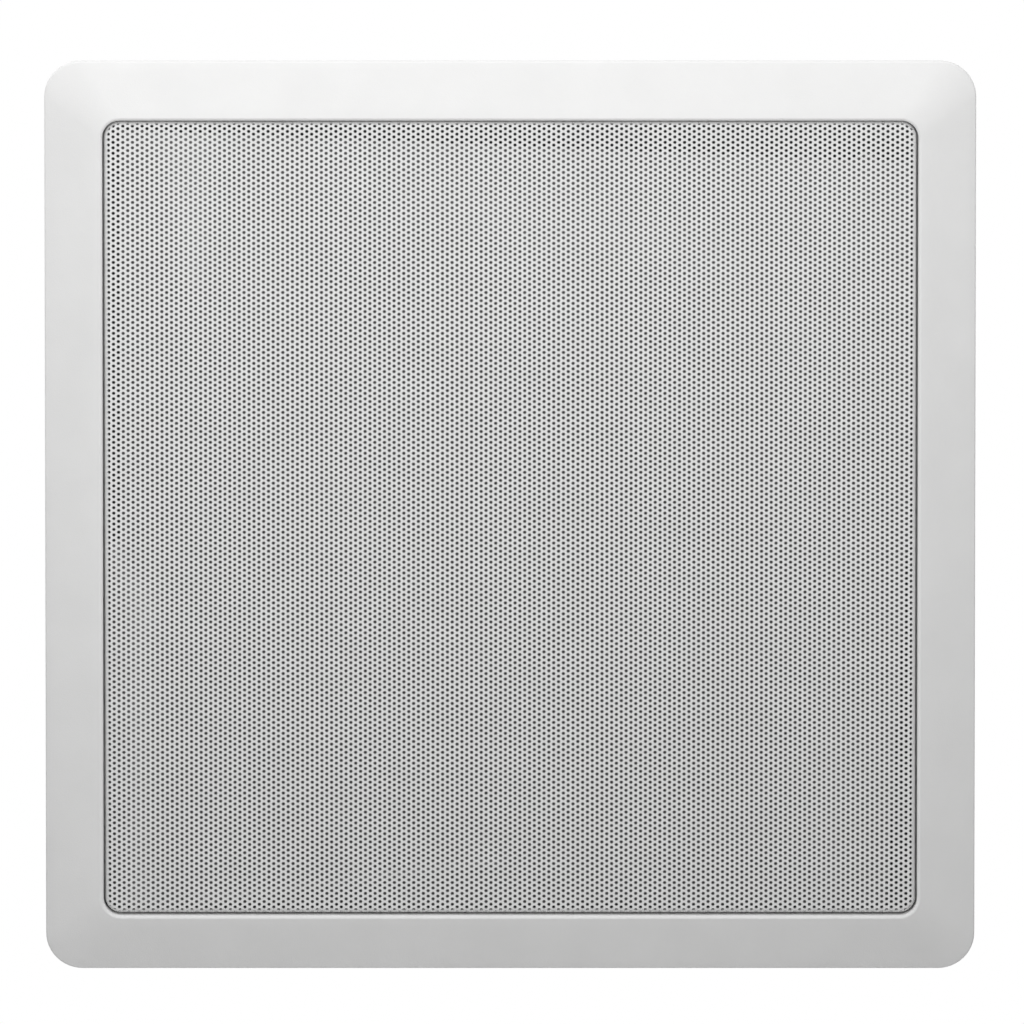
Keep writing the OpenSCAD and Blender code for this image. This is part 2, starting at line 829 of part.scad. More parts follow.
// The dome, its small roll and its flat rim are one pressed skin on the yoke
dome_steps = 8;
dome_roll_steps = 6;
dome_rim_r = dome_r + pot_wall;
dome_path = concat(
    [
        for (i = [0:dome_steps])
            let (s = i / dome_steps)
            [dome_r * s, pot_z + dome_t + dome_h * (1 - s * s)]
    ],
    [
        for (i = [1:dome_roll_steps])
            let (a = 180 - 180 * i / dome_roll_steps)
            [dome_r + pot_wall / 2 * (1 + cos(a)), pot_z + dome_t + pot_wall / 2 * sin(a)]
    ],
    [[pot_out_r, pot_z + dome_t]]
);

module tweeter_dome() {
    color("darkslategray") rotate_extrude()
        polygon([for (p = sheet(dome_path, -dome_t)) [max(p[0], 0), p[1]]]);
}

// The face is a shallow dish that holds the dome's rim down
module tweeter_face() {
    color("dimgray") rotate_extrude() polygon([
        [dome_rim_r + dome_t, pot_z + dome_t], [pot_out_r + glue, pot_z + dome_t], [pot_out_r + glue, pot_z],
        [tweeter_r, pot_z], [tweeter_r, tweeter_z - face_t / 3], [tweeter_r - face_t / 2, tweeter_z],
        [tweeter_r - face_t, tweeter_z], [dome_rim_r + dome_t, pot_z + 2 * dome_t]
    ]);
}

// Clamps

module clamp_screw() {
    color("silver") {
        difference() {
            union() {
                pan_head(head_r, head_h, head_seat_z);
                rod(screw_r, tail_z, head_seat_z);
                rod(tail_r, tail_z - tail_h, tail_z);
            }
        }
    }
}

// A clamp points down while it is stowed, drawn for the top right corner
tooth_l = pad_l / teeth;
clamp_side = concat(
    [
        [-hub_r - cut, hub_rest_z - hub_l],
        [2 * hub_r, hub_rest_z - hub_l],
        [clamp_reach, hub_rest_z - arm_tip_t]
    ],
    [
        for (i = [0:teeth - 1], top = [1, 0])
            [clamp_reach - tooth_l * (i + (top > 0 ? 0 : 1)), hub_rest_z + pad_h - (top > 0 ? 0 : tooth_h)]
    ],
    [[clamp_reach - pad_l - pad_h / 2, hub_rest_z], [-hub_r - cut, hub_rest_z]]
);

module clamp() {
    color("gainsboro") difference() {
        intersection() {
            translate([0, 0, hub_rest_z - hub_l - cut]) linear_extrude(hub_l + pad_h + 2 * cut) {
                circle(hub_r);
                translate([-hub_r, -clamp_reach]) square([2 * hub_r, clamp_reach]);
            }
            rotate([90, 0, -90]) translate([0, 0, -hub_r - cut]) linear_extrude(2 * (hub_r + cut))
                polygon(clamp_side);
        }
        rod(screw_r + screw_clearance, hub_rest_z - hub_l - cut, hub_rest_z + cut);
    }
}

// Crossover

module crossover_board() {
    color("darkgreen") difference() {
        block([-board_w / 2, board_y, board_back_z], [board_w / 2, board_top_y, board_z]);
        for (across = [-1, 1], y = [board_y + pillar_inset, board_top_y - pillar_inset])
            translate([across * pillar_x, y, 0]) rod(board_screw_r + glue, board_back_z - cut, board_z + cut);
    }
}

module crossover_screws() {
    color("silver") for (across = [-1, 1], y = [board_y + pillar_inset, board_top_y - pillar_inset])
        translate([across * pillar_x, y, 0]) {
            rod(board_screw_r, board_back_z, board_back_z + board_screw_l);
            mirror([0, 0, 1]) pan_head(board_head_r, board_head_h, -board_back_z);
        }
}

// An air-cored coil: two cheeks with the winding between them
module crossover_inductor() {
    color("peru") translate([inductor_x, part_y, board_back_z]) mirror([0, 0, 1]) rotate_extrude() polygon([
        [inductor_core_r, 0], [inductor_r, 0], [inductor_r, inductor_cheek],
        [inductor_r - inductor_cheek, inductor_cheek], [inductor_r - inductor_cheek, inductor_h - inductor_cheek],
        [inductor_r, inductor_h - inductor_cheek], [inductor_r, inductor_h], [inductor_core_r, inductor_h]
    ]);
}

// A capacitor lies on the board, with a groove near one end
module capacitor(x, r, l) {
    groove = r / 8;
    translate([x, part_y - l / 2, board_back_z - r]) rotate([-90, 0, 0]) rotate_extrude() polygon([
        [0, 0], [r - groove, 0], [r, groove], [r, l - 3 * groove - r / 2], [r - groove, l - 2 * groove - r / 2],
        [r, l - groove - r / 2], [r, l - groove], [r - groove, l], [0, l]
    ]);
}

module capacitor_large() {
    color("midnightblue") capacitor(cap_large_x, cap_large_r, board_h - 2 * cap_large_inset);
}

module capacitor_small() {
    color("midnightblue") capacitor(cap_small_x, cap_small_r, board_h - 2 * cap_small_inset);
}

module crossover_resistor() {
    color("ivory") block(
        [resistor_x - resistor_w / 2, board_y + resistor_inset, board_back_z - resistor_h],
        [resistor_x + resistor_w / 2, board_top_y - resistor_inset, board_back_z]
    );
}

// The wires enter the terminal from below, and a sprung tab over each lets go of it
terminal_top_z = board_back_z - terminal_h;
terminal_low_y = part_y - terminal_l / 2;
tab_y = part_y + terminal_l / 2 - terminal_wall - tab_gap - tab_l / 2;
tab_foot_z = board_back_z - terminal_wall - tab_gap - tab_travel;
wire_z = board_back_z - terminal_h / 2;
function terminal_at(side) = terminal_x + side * terminal_pitch / 2;

module terminal_base() {
    color("black") difference() {
        block(
            [terminal_x - terminal_w / 2, terminal_low_y, terminal_top_z],
            [terminal_x + terminal_w / 2, part_y + terminal_l / 2, board_back_z]
        );
        for (side = [-1, 1]) translate([terminal_at(side), 0, 0]) {
            block(
                [-tab_w / 2 - tab_gap, tab_y - tab_l / 2 - tab_gap, terminal_top_z - cut],
                [tab_w / 2 + tab_gap, tab_y + tab_l / 2 + tab_gap, board_back_z - terminal_wall]
            );
            translate([0, terminal_low_y - cut, wire_z]) rotate([-90, 0, 0])
                cylinder(r = wire_r, h = wire_d + cut);
        }
    }
}

module terminal_tab(side) {
    head_z = terminal_top_z - tab_travel - tab_gap;
    translate([terminal_at(side), tab_y, 0]) {
        block([-tab_w / 2, -tab_l / 2, head_z], [tab_w / 2, tab_l / 2, tab_foot_z]);
        block(
            [-tab_w / 2 - tab_cap, -tab_l / 2 - tab_cap, head_z - tab_head],
            [tab_w / 2 + tab_cap, tab_l / 2 + tab_cap, head_z]
        );
    }
}

module terminal_tab_red() {
    color("crimson") terminal_tab(-1);
}

module terminal_tab_black() {
    color("black") terminal_tab(1);
}

// Woofer terminals

neck_out_r = neck_r + basket_t;
tag_y = -neck_out_r;
tag_z = plate_z + (neck_h - basket_t) / 2;
tag_sag = neck_out_r - sqrt(neck_out_r * neck_out_r - tag_w * tag_w / 4);

module woofer_tag_board() {
    color("saddlebrown") difference() {
        block([-tag_w / 2, tag_y - tag_t, tag_z - tag_h / 2], [tag_w / 2, tag_y + tag_sag, tag_z + tag_h / 2]);
        rod(neck_out_r, tag_z - tag_h, tag_z + tag_h);
    }
}

module woofer_lugs() {
    color("gold") for (side = [-1, 1])
        block(
            [side * lug_pitch / 2 - lug_w / 2, tag_y - tag_t - lug_l, tag_z - lug_t / 2],
            [side * lug_pitch / 2 + lug_w / 2, tag_y - tag_t, tag_z + lug_t / 2]
        );
}

stand() frame();
stand() grille();
stand() grille_scrim();
stand() woofer_gasket();
stand() woofer_basket();
stand() woofer_screws();
stand() woofer_surround();
stand() woofer_cone();
stand() spider();
stand() coil_former();
stand() voice_coil();
stand() top_plate();
stand() magnet();
stand() pole_yoke();
stand() tweeter_post();
stand() post_nut();
stand() tweeter_housing();
stand() tweeter_yoke();
stand() tweeter_magnet();
stand() tweeter_plate();
stand() tweeter_coil();
stand() tweeter_dome();
stand() tweeter_face();
stand() at_corner(1, 1) clamp_screw();  // clamp_screw_top_right
stand() at_corner(-1, 1) clamp_screw();  // clamp_screw_top_left
stand() at_corner(1, -1) clamp_screw();  // clamp_screw_bottom_right
stand() at_corner(-1, -1) clamp_screw();  // clamp_screw_bottom_left
stand() at_corner(1, 1) clamp();  // clamp_top_right
stand() at_corner(-1, 1) clamp();  // clamp_top_left
stand() at_corner(1, -1) clamp();  // clamp_bottom_right
stand() at_corner(-1, -1) clamp();  // clamp_bottom_left
stand() crossover_board();
stand() crossover_screws();
stand() crossover_inductor();
stand() capacitor_large();
stand() capacitor_small();
stand() crossover_resistor();
stand() terminal_base();
stand() terminal_tab_red();
stand() terminal_tab_black();
stand() woofer_tag_board();
stand() woofer_lugs();
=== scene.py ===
import json
import math

import bpy
import numpy as np
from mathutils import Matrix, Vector


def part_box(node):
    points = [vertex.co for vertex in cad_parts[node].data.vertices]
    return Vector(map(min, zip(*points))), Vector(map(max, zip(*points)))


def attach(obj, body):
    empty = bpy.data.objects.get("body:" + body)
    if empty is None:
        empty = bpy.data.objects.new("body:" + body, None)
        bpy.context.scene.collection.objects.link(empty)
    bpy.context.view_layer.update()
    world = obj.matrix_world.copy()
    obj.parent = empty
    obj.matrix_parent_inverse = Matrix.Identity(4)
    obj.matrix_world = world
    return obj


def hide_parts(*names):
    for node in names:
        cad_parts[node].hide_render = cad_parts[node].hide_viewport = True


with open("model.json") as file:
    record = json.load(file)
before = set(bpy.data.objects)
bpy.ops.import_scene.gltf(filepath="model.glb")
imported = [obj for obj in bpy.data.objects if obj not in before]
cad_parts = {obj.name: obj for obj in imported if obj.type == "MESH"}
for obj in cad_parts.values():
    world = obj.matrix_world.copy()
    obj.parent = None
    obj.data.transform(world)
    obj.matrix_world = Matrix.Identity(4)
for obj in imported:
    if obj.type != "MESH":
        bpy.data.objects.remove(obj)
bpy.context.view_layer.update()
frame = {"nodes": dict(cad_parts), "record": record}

MM = 0.001

# Points on the part's face are written as (across, up) in metres. The face looks along -Y,
# so "deep" is a distance behind it, along +Y.


# Grille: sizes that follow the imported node
GRILLE_LOW, GRILLE_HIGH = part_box("grille")
GRILLE_HALF = GRILLE_HIGH.x
FACE_Y = GRILLE_LOW.y
FOOT_Y = GRILLE_HIGH.y
SHEET = 0.6 * MM
FOLD = 1.9 * MM
CORNER = 5.5 * MM

# Grille: fine holes in staggered columns, up to the last one in the fold
PITCH = 1.98 * MM
COLUMN = PITCH * math.sin(math.radians(60))
HOLE = 1.18 * MM
LAST_HOLE = 1.75 * MM
FOLD_END = FOLD * math.pi / 2
SKIRT_NIP = 0.15 * MM
CORNER_STEPS = 14

# Frame: what is painted black behind the grille, as half width, start and end of each step
PAINTED_WELL = (138.6 * MM, 0.6 * MM, 8.1 * MM)
PAINTED_LEDGE = (GRILLE_HALF - 0.3 * MM, 0.3 * MM, 0.7 * MM)
WELL_BLACK = (0.055, 0.055, 0.055)

# Smooth shading: how near corners are joined, and the widest edge angle, in degrees, that is smoothed
JOINED_WITHIN = 0.01 * MM
SMOOTH_ANGLE = 34
SMOOTH_NODES = ("frame", "woofer_cone", "woofer_surround", "spider", "tweeter_dome")

# Cloth: outline, cut askew, so its top and right edges slope and its left edge stands short above a height
CLOTH_HALF = 141.4 * MM
CLOTH_TOP = 135.2 * MM
CLOTH_TOP_SLOPE = -0.0425
CLOTH_RIGHT = 141.2 * MM
CLOTH_RIGHT_SLOPE = 0.054
CLOTH_LEFT_SHORT = 3.0 * MM
CLOTH_LEFT_END = -12 * MM
CLOTH_STEPS = 170

# Cloth: its gap behind the sheet at the top and at the foot, how late it opens, how uneven it is, its least
CLOTH_GAP_TOP = 0.5 * MM
CLOTH_GAP_LOW = 2.4 * MM
CLOTH_GAP_CURVE = 1.5
CLOTH_UNEVEN_SHARE = 0.25
CLOTH_TOUCH = 0.12 * MM

# Cloth: folds, each with its two ends on the face, the width at each, and the share of the gap it takes
FOLDS = (
    ((-0.115, 0.138), (-0.112, 0.086), 0.014, 0.003, 0.95),
    ((-0.141, -0.011), (-0.129, -0.036), 0.004, 0.005, 0.8),
    ((-0.132, -0.030), (-0.132, -0.140), 0.008, 0.009, 0.85),
    ((-0.110, -0.139), (-0.004, -0.125), 0.003, 0.003, 0.9),
    ((-0.030, 0.118), (0.070, 0.096), 0.016, 0.012, 0.4),
    ((0.020, 0.030), (0.110, -0.060), 0.020, 0.020, -0.4),
    ((0.112, -0.050), (0.113, -0.141), 0.008, 0.011, 0.7),
    ((-0.080, 0.020), (-0.020, -0.070), 0.022, 0.022, 0.25),
)

# Studio: the floor, and how far from its middle it starts and ends to fade
FLOOR_RADIUS = 1.3
FLOOR_SIDES = 96
FLOOR_HEIGHT = -0.6
FLOOR_COLOR = (0.93, 0.93, 0.93)
FADE_START = 0.35
FADE_END = 1.25

# Studio: the strength of the even light, then each lamp's place, aim, size and power in watts
AMBIENT = 0.18
LAMPS = {
    "key": ((-0.018, -0.2, 0.18), (0, 0, 0), 0.95, 3.06),
    "above": ((0, 0.02, 1.1), (0, 0.02, 0), 0.8, 1.2),
    "back_left": ((-1.1, 1.3, 0.7), (0, 0.05, 0), 2.2, 12),
    "back_right": ((1.1, 1.2, 0.3), (0, 0.05, 0), 2.0, 5.5),
}

# Camera: a very long lens, as in the photograph, from straight ahead and slightly above
CAMERA_ELEVATION = math.radians(12.84)
CAMERA_DISTANCE = 16.15
LENS = 1600
SENSOR = 36
NEAREST = 1
FARTHEST = 60
AIM_RIGHT = 0.63 * MM
AIM_UP = 0.95 * MM


# Node materials

class Finish:
    """A material round one Principled shader, with short names for the nodes it needs."""

    def __init__(self, name, color, roughness, metallic=0.0, **more):
        self.material = bpy.data.materials.new(name)
        self.material.use_nodes = True
        self.tree = self.material.node_tree
        self.shader = self.tree.nodes["Principled BSDF"]
        self.color = color
        self.place = self.node("ShaderNodeTexCoord").outputs["Object"]
        self.normal = None
        self.put(Base_Color=(*color, 1), Roughness=roughness, Metallic=metallic, **more)

    def node(self, kind, **settings):
        made = self.tree.nodes.new(kind)
        for key, value in settings.items():
            setattr(made, key, value)
        return made

    def link(self, source, target):
        self.tree.links.new(source, target)

    def put(self, **values):
        for key, value in values.items():
            self.shader.inputs[key.replace("_", " ")].default_value = value

    def stretched(self, across, deep, up):
        """The place, stretched by a factor along each axis."""
        made = self.node("ShaderNodeMapping")
        made.inputs["Scale"].default_value = (across, deep, up)
        self.link(self.place, made.inputs["Vector"])
        return made.outputs["Vector"]

    def noise(self, size, detail=2.0, rough=0.5, place=None):
        """Noise from 0 to 1 whose lumps are about size metres across."""
        made = self.node("ShaderNodeTexNoise")
        made.inputs["Scale"].default_value = 1 / size
        made.inputs["Detail"].default_value = detail
        made.inputs["Roughness"].default_value = rough
        self.link(place or self.place, made.inputs["Vector"])
        return made.outputs["Fac"]

    def bands(self, axis, period, wobble=0.0, shape="BANDS"):
        """Even ridges along one axis, or rings round it, with a period in metres."""
        made = self.node("ShaderNodeTexWave", wave_type=shape)
        if shape == "BANDS":
            made.bands_direction = axis
        else:
            made.rings_direction = axis
        made.inputs["Scale"].default_value = 2 * math.pi / (20 * period)
        made.inputs["Distortion"].default_value = wobble
        self.link(self.place, made.inputs["Vector"])
        return made.outputs["Fac"]

    def grains(self, size):
        """Distance to the nearest of many scattered points."""
        made = self.node("ShaderNodeTexVoronoi")
        made.inputs["Scale"].default_value = 1 / size
        self.link(self.place, made.inputs["Vector"])
        return made.outputs["Distance"]

    def math(self, operation, first, second=0):
        made = self.node("ShaderNodeMath", operation=operation)
        for socket, value in zip(made.inputs, (first, second)):
            if isinstance(value, (int, float)):
                socket.default_value = value
            else:
                self.link(value, socket)
        return made.outputs["Value"]

    def spread(self, fac, low, high):
        """fac, from 0 to 1, laid out from low to high."""
        made = self.node("ShaderNodeMapRange")
        made.inputs["To Min"].default_value = low
        made.inputs["To Max"].default_value = high
        self.link(fac, made.inputs["Value"])
        return made.outputs["Result"]

    def tint(self, fac, other, start=0.3, end=0.7):
        """Turns the base colour towards another where fac rises from start to end."""
        ramp = self.node("ShaderNodeValToRGB")
        ramp.color_ramp.elements[0].position = start
        ramp.color_ramp.elements[0].color = (*self.color, 1)
        ramp.color_ramp.elements[1].position = end
        ramp.color_ramp.elements[1].color = (*other, 1)
        self.link(fac, ramp.inputs["Fac"])
        self.link(ramp.outputs["Color"], self.shader.inputs["Base Color"])

    def rough(self, fac, low, high):
        self.link(self.spread(fac, low, high), self.shader.inputs["Roughness"])

    def bump(self, height, depth):
        """Raises the surface by up to depth metres where height is 1, over any bump before it."""
        made = self.node("ShaderNodeBump")
        made.inputs["Distance"].default_value = depth
        made.inputs["Strength"].default_value = 1
        self.link(height, made.inputs["Height"])
        if self.normal:
            self.link(self.normal, made.inputs["Normal"])
        self.normal = made.outputs["Normal"]
        self.link(self.normal, self.shader.inputs["Normal"])


def shaded(color, share):
    return tuple(channel * share for channel in color)


def moulded(name, color, roughness, **more):
    """Injection-moulded plastic: a fine spark-eroded grain and slow changes in its gloss."""
    finish = Finish(name, color, roughness, **more)
    finish.tint(finish.noise(18 * MM, 3), shaded(color, 0.97))
    finish.rough(finish.noise(7 * MM, 4), roughness - 0.05, roughness + 0.06)
    finish.bump(finish.noise(0.45 * MM, 3, 0.6), 0.05 * MM)
    return finish


def blackened_well(finish, steps):
    """Turns a finish black inside square steps, each a half width and where it starts and ends."""
    axes = finish.node("ShaderNodeSeparateXYZ")
    finish.link(finish.place, axes.inputs[0])
    across = finish.math("ABSOLUTE", axes.outputs["X"])
    up = finish.math("ABSOLUTE", axes.outputs["Z"])
    reach = finish.math("MAXIMUM", across, up)
    share = 0
    for half, front, back in steps:
        inside = finish.math("LESS_THAN", reach, half)
        behind = finish.math("GREATER_THAN", axes.outputs["Y"], front)
        before = finish.math("LESS_THAN", axes.outputs["Y"], back)
        one = finish.math("MULTIPLY", inside, finish.math("MULTIPLY", behind, before))
        share = finish.math("MAXIMUM", share, one)
    color = finish.shader.inputs["Base Color"].links[0].from_socket
    mix = finish.node("ShaderNodeMix", data_type="RGBA")
    mix.inputs["B"].default_value = (*WELL_BLACK, 1)
    finish.link(share, mix.inputs["Factor"])
    finish.link(color, mix.inputs["A"])
    finish.link(mix.outputs["Result"], finish.shader.inputs["Base Color"])


def coated(name, color, roughness, peel=0.03 * MM):
    """Powder coat: the soft lumps of paint that was baked on, with fine specks."""
    finish = Finish(name, color, roughness)
    finish.tint(finish.noise(9 * MM, 3), shaded(color, 0.965))
    finish.rough(finish.noise(2.5 * MM, 3), roughness - 0.06, roughness + 0.08)
    finish.bump(finish.noise(0.9 * MM, 2), peel)
    finish.bump(finish.grains(0.35 * MM), 0.4 * peel)
    return finish


def plated(name, color, roughness, dull):
    """Plated steel: a clear metal with cloudy patches, fine scratches and a dulled tint."""
    finish = Finish(name, color, roughness, metallic=1.0)
    finish.tint(finish.noise(2.5 * MM, 5, 0.6), dull, 0.35, 0.75)
    finish.rough(finish.noise(2 * MM, 4), roughness - 0.07, roughness + 0.12)
    finish.bump(finish.noise(0.3 * MM, 2, place=finish.stretched(1, 0.15, 1)), 0.012 * MM)
    return finish


def woven(name, color, other, thread, roughness, **more):
    """Plain weave seen from the front: threads across and up, each one thread wide. The raised crossings
    turn towards a second colour; a lighter one is a painted highlight on the threads.
    """
    finish = Finish(name, color, roughness, **more)
    across = finish.bands("X", thread, 0.4)
    up = finish.bands("Z", thread, 0.4)
    cross = finish.math("MULTIPLY", across, up)
    # Crossings tinted towards other: lighter on the grille cloth and the dome, a painted highlight on the
    # raised threads; darker on the spider
    finish.tint(cross, other, 0.1, 0.9)
    finish.rough(finish.noise(3 * MM, 3), roughness - 0.08, min(roughness + 0.08, 1))
    finish.bump(cross, 0.3 * thread)
    return finish


def wound(name, color, dark, wire, layers):
    """Enamelled wire in close turns round an axis along Y, with its layers seen at the ends. The grooves
    between turns are darkened as painted shade.
    """
    finish = Finish(name, color, 0.32, metallic=1.0, Coat_Weight=0.5, Coat_Roughness=0.2)
    coordinates = finish.node("ShaderNodeTexCoord")
    axes = finish.node("ShaderNodeSeparateXYZ")
    finish.link(coordinates.outputs["Generated"], axes.inputs[0])
    across = finish.math("SUBTRACT", axes.outputs["X"], 0.5)
    up = finish.math("SUBTRACT", axes.outputs["Z"], 0.5)
    squares = finish.math("ADD", finish.math("POWER", across, 2), finish.math("POWER", up, 2))
    phase = finish.math("MULTIPLY", finish.math("SQRT", squares), 4 * math.pi * layers)
    rings = finish.math("ADD", finish.math("MULTIPLY", finish.math("SINE", phase), 0.5), 0.5)
    way = finish.node("ShaderNodeSeparateXYZ")
    finish.link(coordinates.outputs["Normal"], way.inputs[0])
    at_end = finish.math("GREATER_THAN", finish.math("ABSOLUTE", way.outputs["Y"]), 0.7)
    pick = finish.node("ShaderNodeMix", data_type="FLOAT")
    finish.link(at_end, pick.inputs["Factor"])
    finish.link(finish.bands("Y", wire, 0.3), pick.inputs["A"])
    finish.link(rings, pick.inputs["B"])
    turns = pick.outputs["Result"]
    # dark fills the grooves between the turns and layers: painted shade
    finish.tint(turns, dark, 0.75, 0.15)
    finish.bump(turns, 0.4 * wire)
    finish.rough(finish.noise(3 * MM, 3), 0.25, 0.45)
    return finish


def pressed_paper(name, color, fibre):
    """A pulp cone: felted fibres, mottled colour and faint rings from the press."""
    finish = Finish(name, color, 0.8)
    finish.tint(finish.noise(1.6 * MM, 6, 0.7), fibre, 0.42, 0.8)
    finish.bump(finish.noise(0.7 * MM, 5, 0.7), 0.09 * MM)
    finish.bump(finish.bands("Y", 5 * MM, 0.6, "RINGS"), 0.05 * MM)
    finish.rough(finish.noise(5 * MM, 3), 0.72, 0.9)
    return finish


def rubber(name, color):
    """Moulded rubber with a dusty bloom on it."""
    finish = Finish(name, color, 0.55, Sheen_Weight=0.15, Sheen_Roughness=0.5)
    finish.tint(finish.noise(12 * MM, 5, 0.6), (0.05, 0.05, 0.052), 0.45, 0.8)
    finish.bump(finish.noise(0.5 * MM, 3), 0.03 * MM)
    finish.rough(finish.noise(6 * MM, 4), 0.48, 0.68)
    return finish


def foam_sheet(name, color):
    """Open-cell foam: a dense field of small pits, painted darker inside as painted shade."""
    finish = Finish(name, color, 0.95)
    # The pits keep the dark colour and the walls between them turn lighter: painted shade in the pits
    finish.tint(finish.grains(0.8 * MM), shaded(color, 2.2), 0.1, 0.6)
    finish.bump(finish.grains(0.8 * MM), 0.25 * MM)
    finish.rough(finish.noise(4 * MM, 2), 0.9, 1.0)
    return finish


def sintered(name, color):
    """Ground ferrite: dark grey grains with pores and chipped lighter specks."""
    finish = Finish(name, color, 0.62)
    finish.tint(finish.noise(1.1 * MM, 6, 0.75), shaded(color, 1.9), 0.5, 0.85)
    finish.bump(finish.noise(0.5 * MM, 5, 0.7), 0.06 * MM)
    finish.rough(finish.noise(3 * MM, 4), 0.5, 0.78)
    return finish


def resin_cloth(name, color, dark):
    """Cotton stiffened with resin: an open weave, and rings where the resin ran."""
    finish = woven(name, color, dark, 0.62 * MM, 0.6, Coat_Weight=0.25, Coat_Roughness=0.35)
    finish.bump(finish.noise(2.2 * MM, 4), 0.05 * MM)
    return finish


def laminate(name, color, edge):
    """A circuit board: lacquer over a glass weave, with slightly uneven colour."""
    finish = Finish(name, color, 0.35, Coat_Weight=0.5, Coat_Roughness=0.15)
    weave = finish.math("MULTIPLY", finish.bands("X", 0.8 * MM), finish.bands("Z", 0.8 * MM))
    finish.tint(finish.math("MULTIPLY", weave, finish.noise(9 * MM, 4)), edge, 0.1, 0.6)
    finish.bump(weave, 0.015 * MM)
    finish.rough(finish.noise(5 * MM, 3), 0.28, 0.46)
    return finish


def sleeve(name, color):
    """A shrunk plastic sleeve, with puckers round the ends of what it holds."""
    finish = Finish(name, color, 0.3, Coat_Weight=0.3, Coat_Roughness=0.1)
    finish.tint(finish.noise(4 * MM, 4), shaded(color, 0.7), 0.4, 0.8)
    finish.bump(finish.noise(1.8 * MM, 2, place=finish.stretched(1, 1, 0.25)), 0.08 * MM)
    finish.rough(finish.noise(3 * MM, 3), 0.24, 0.4)
    return finish


def fired(name, color):
    """A cement and ceramic body: matt, with pinholes."""
    finish = Finish(name, color, 0.85)
    finish.tint(finish.noise(1.2 * MM, 6, 0.7), shaded(color, 0.82), 0.45, 0.8)
    finish.bump(finish.noise(0.45 * MM, 4, 0.7), 0.07 * MM)
    finish.rough(finish.noise(2 * MM, 2), 0.78, 0.94)
    return finish


FINISHES = {
    "frame_plastic": moulded(
        "satin_white_moulding", (0.79, 0.79, 0.787), 0.45, Specular_IOR_Level=0.3
    ),
    "grille_paint": coated("white_powder_coat", (0.77, 0.77, 0.767), 0.5),
    # grille cloth: the lighter second colour is a painted highlight on the raised thread crossings
    "scrim_cloth": woven("grille_cloth", (0.2, 0.2, 0.198), (0.26, 0.26, 0.258), 0.42 * MM, 0.9),
    # gasket foam: its pits are painted darker than the walls between them, as painted shade
    "foam": foam_sheet("gasket_foam", (0.03, 0.03, 0.031)),
    "basket_paint": coated("black_powder_coat", (0.022, 0.022, 0.024), 0.42, 0.05 * MM),
    "black_steel": plated("blackened_screws", (0.05, 0.05, 0.052), 0.38, (0.02, 0.02, 0.021)),
    "surround_rubber": rubber("surround_rubber", (0.02, 0.02, 0.021)),
    "cone_paper": pressed_paper("pressed_paper", (0.045, 0.045, 0.047), (0.11, 0.11, 0.11)),
    "spider_cloth": resin_cloth("spider_cloth", (0.5, 0.3, 0.1), (0.28, 0.15, 0.04)),
    "former_foil": plated("former_foil", (0.8, 0.8, 0.81), 0.28, (0.6, 0.6, 0.61)),
    # copper wire: the darker second colour is painted shade in the grooves between turns
    "copper": wound("copper_wire", (0.72, 0.3, 0.14), (0.25, 0.08, 0.03), 0.45 * MM, 24),
    "plated_steel": plated("zinc_plated_steel", (0.5, 0.495, 0.48), 0.38, (0.44, 0.43, 0.41)),
    "ferrite": sintered("ground_ferrite", (0.06, 0.06, 0.064)),
    "black_plastic": moulded("black_moulding", (0.022, 0.022, 0.023), 0.45),
    "nickel": plated("nickel_plate", (0.7, 0.68, 0.64), 0.2, (0.56, 0.54, 0.5)),
    # dome: the lighter second colour is a painted highlight on the raised thread crossings
    "dome_cloth": woven("coated_dome", (0.03, 0.03, 0.034), (0.06, 0.06, 0.066), 0.3 * MM, 0.55),
    "zinc_steel": plated("bright_zinc", (0.6, 0.6, 0.59), 0.3, (0.5, 0.49, 0.47)),
    "clamp_nylon": moulded("natural_nylon", (0.72, 0.71, 0.66), 0.4, Subsurface_Weight=0.1),
    "board_green": laminate("green_laminate", (0.015, 0.13, 0.05), (0.03, 0.22, 0.09)),
    "capacitor_blue": sleeve("blue_sleeve", (0.02, 0.05, 0.2)),
    "resistor_ceramic": fired("white_cement", (0.76, 0.74, 0.68)),
    "red_plastic": moulded("red_moulding", (0.55, 0.02, 0.02), 0.3),
    "tag_brown": laminate("brown_laminate", (0.2, 0.09, 0.035), (0.28, 0.14, 0.06)),
    "tin_brass": plated("tinned_brass", (0.74, 0.69, 0.56), 0.3, (0.6, 0.5, 0.3)),
}


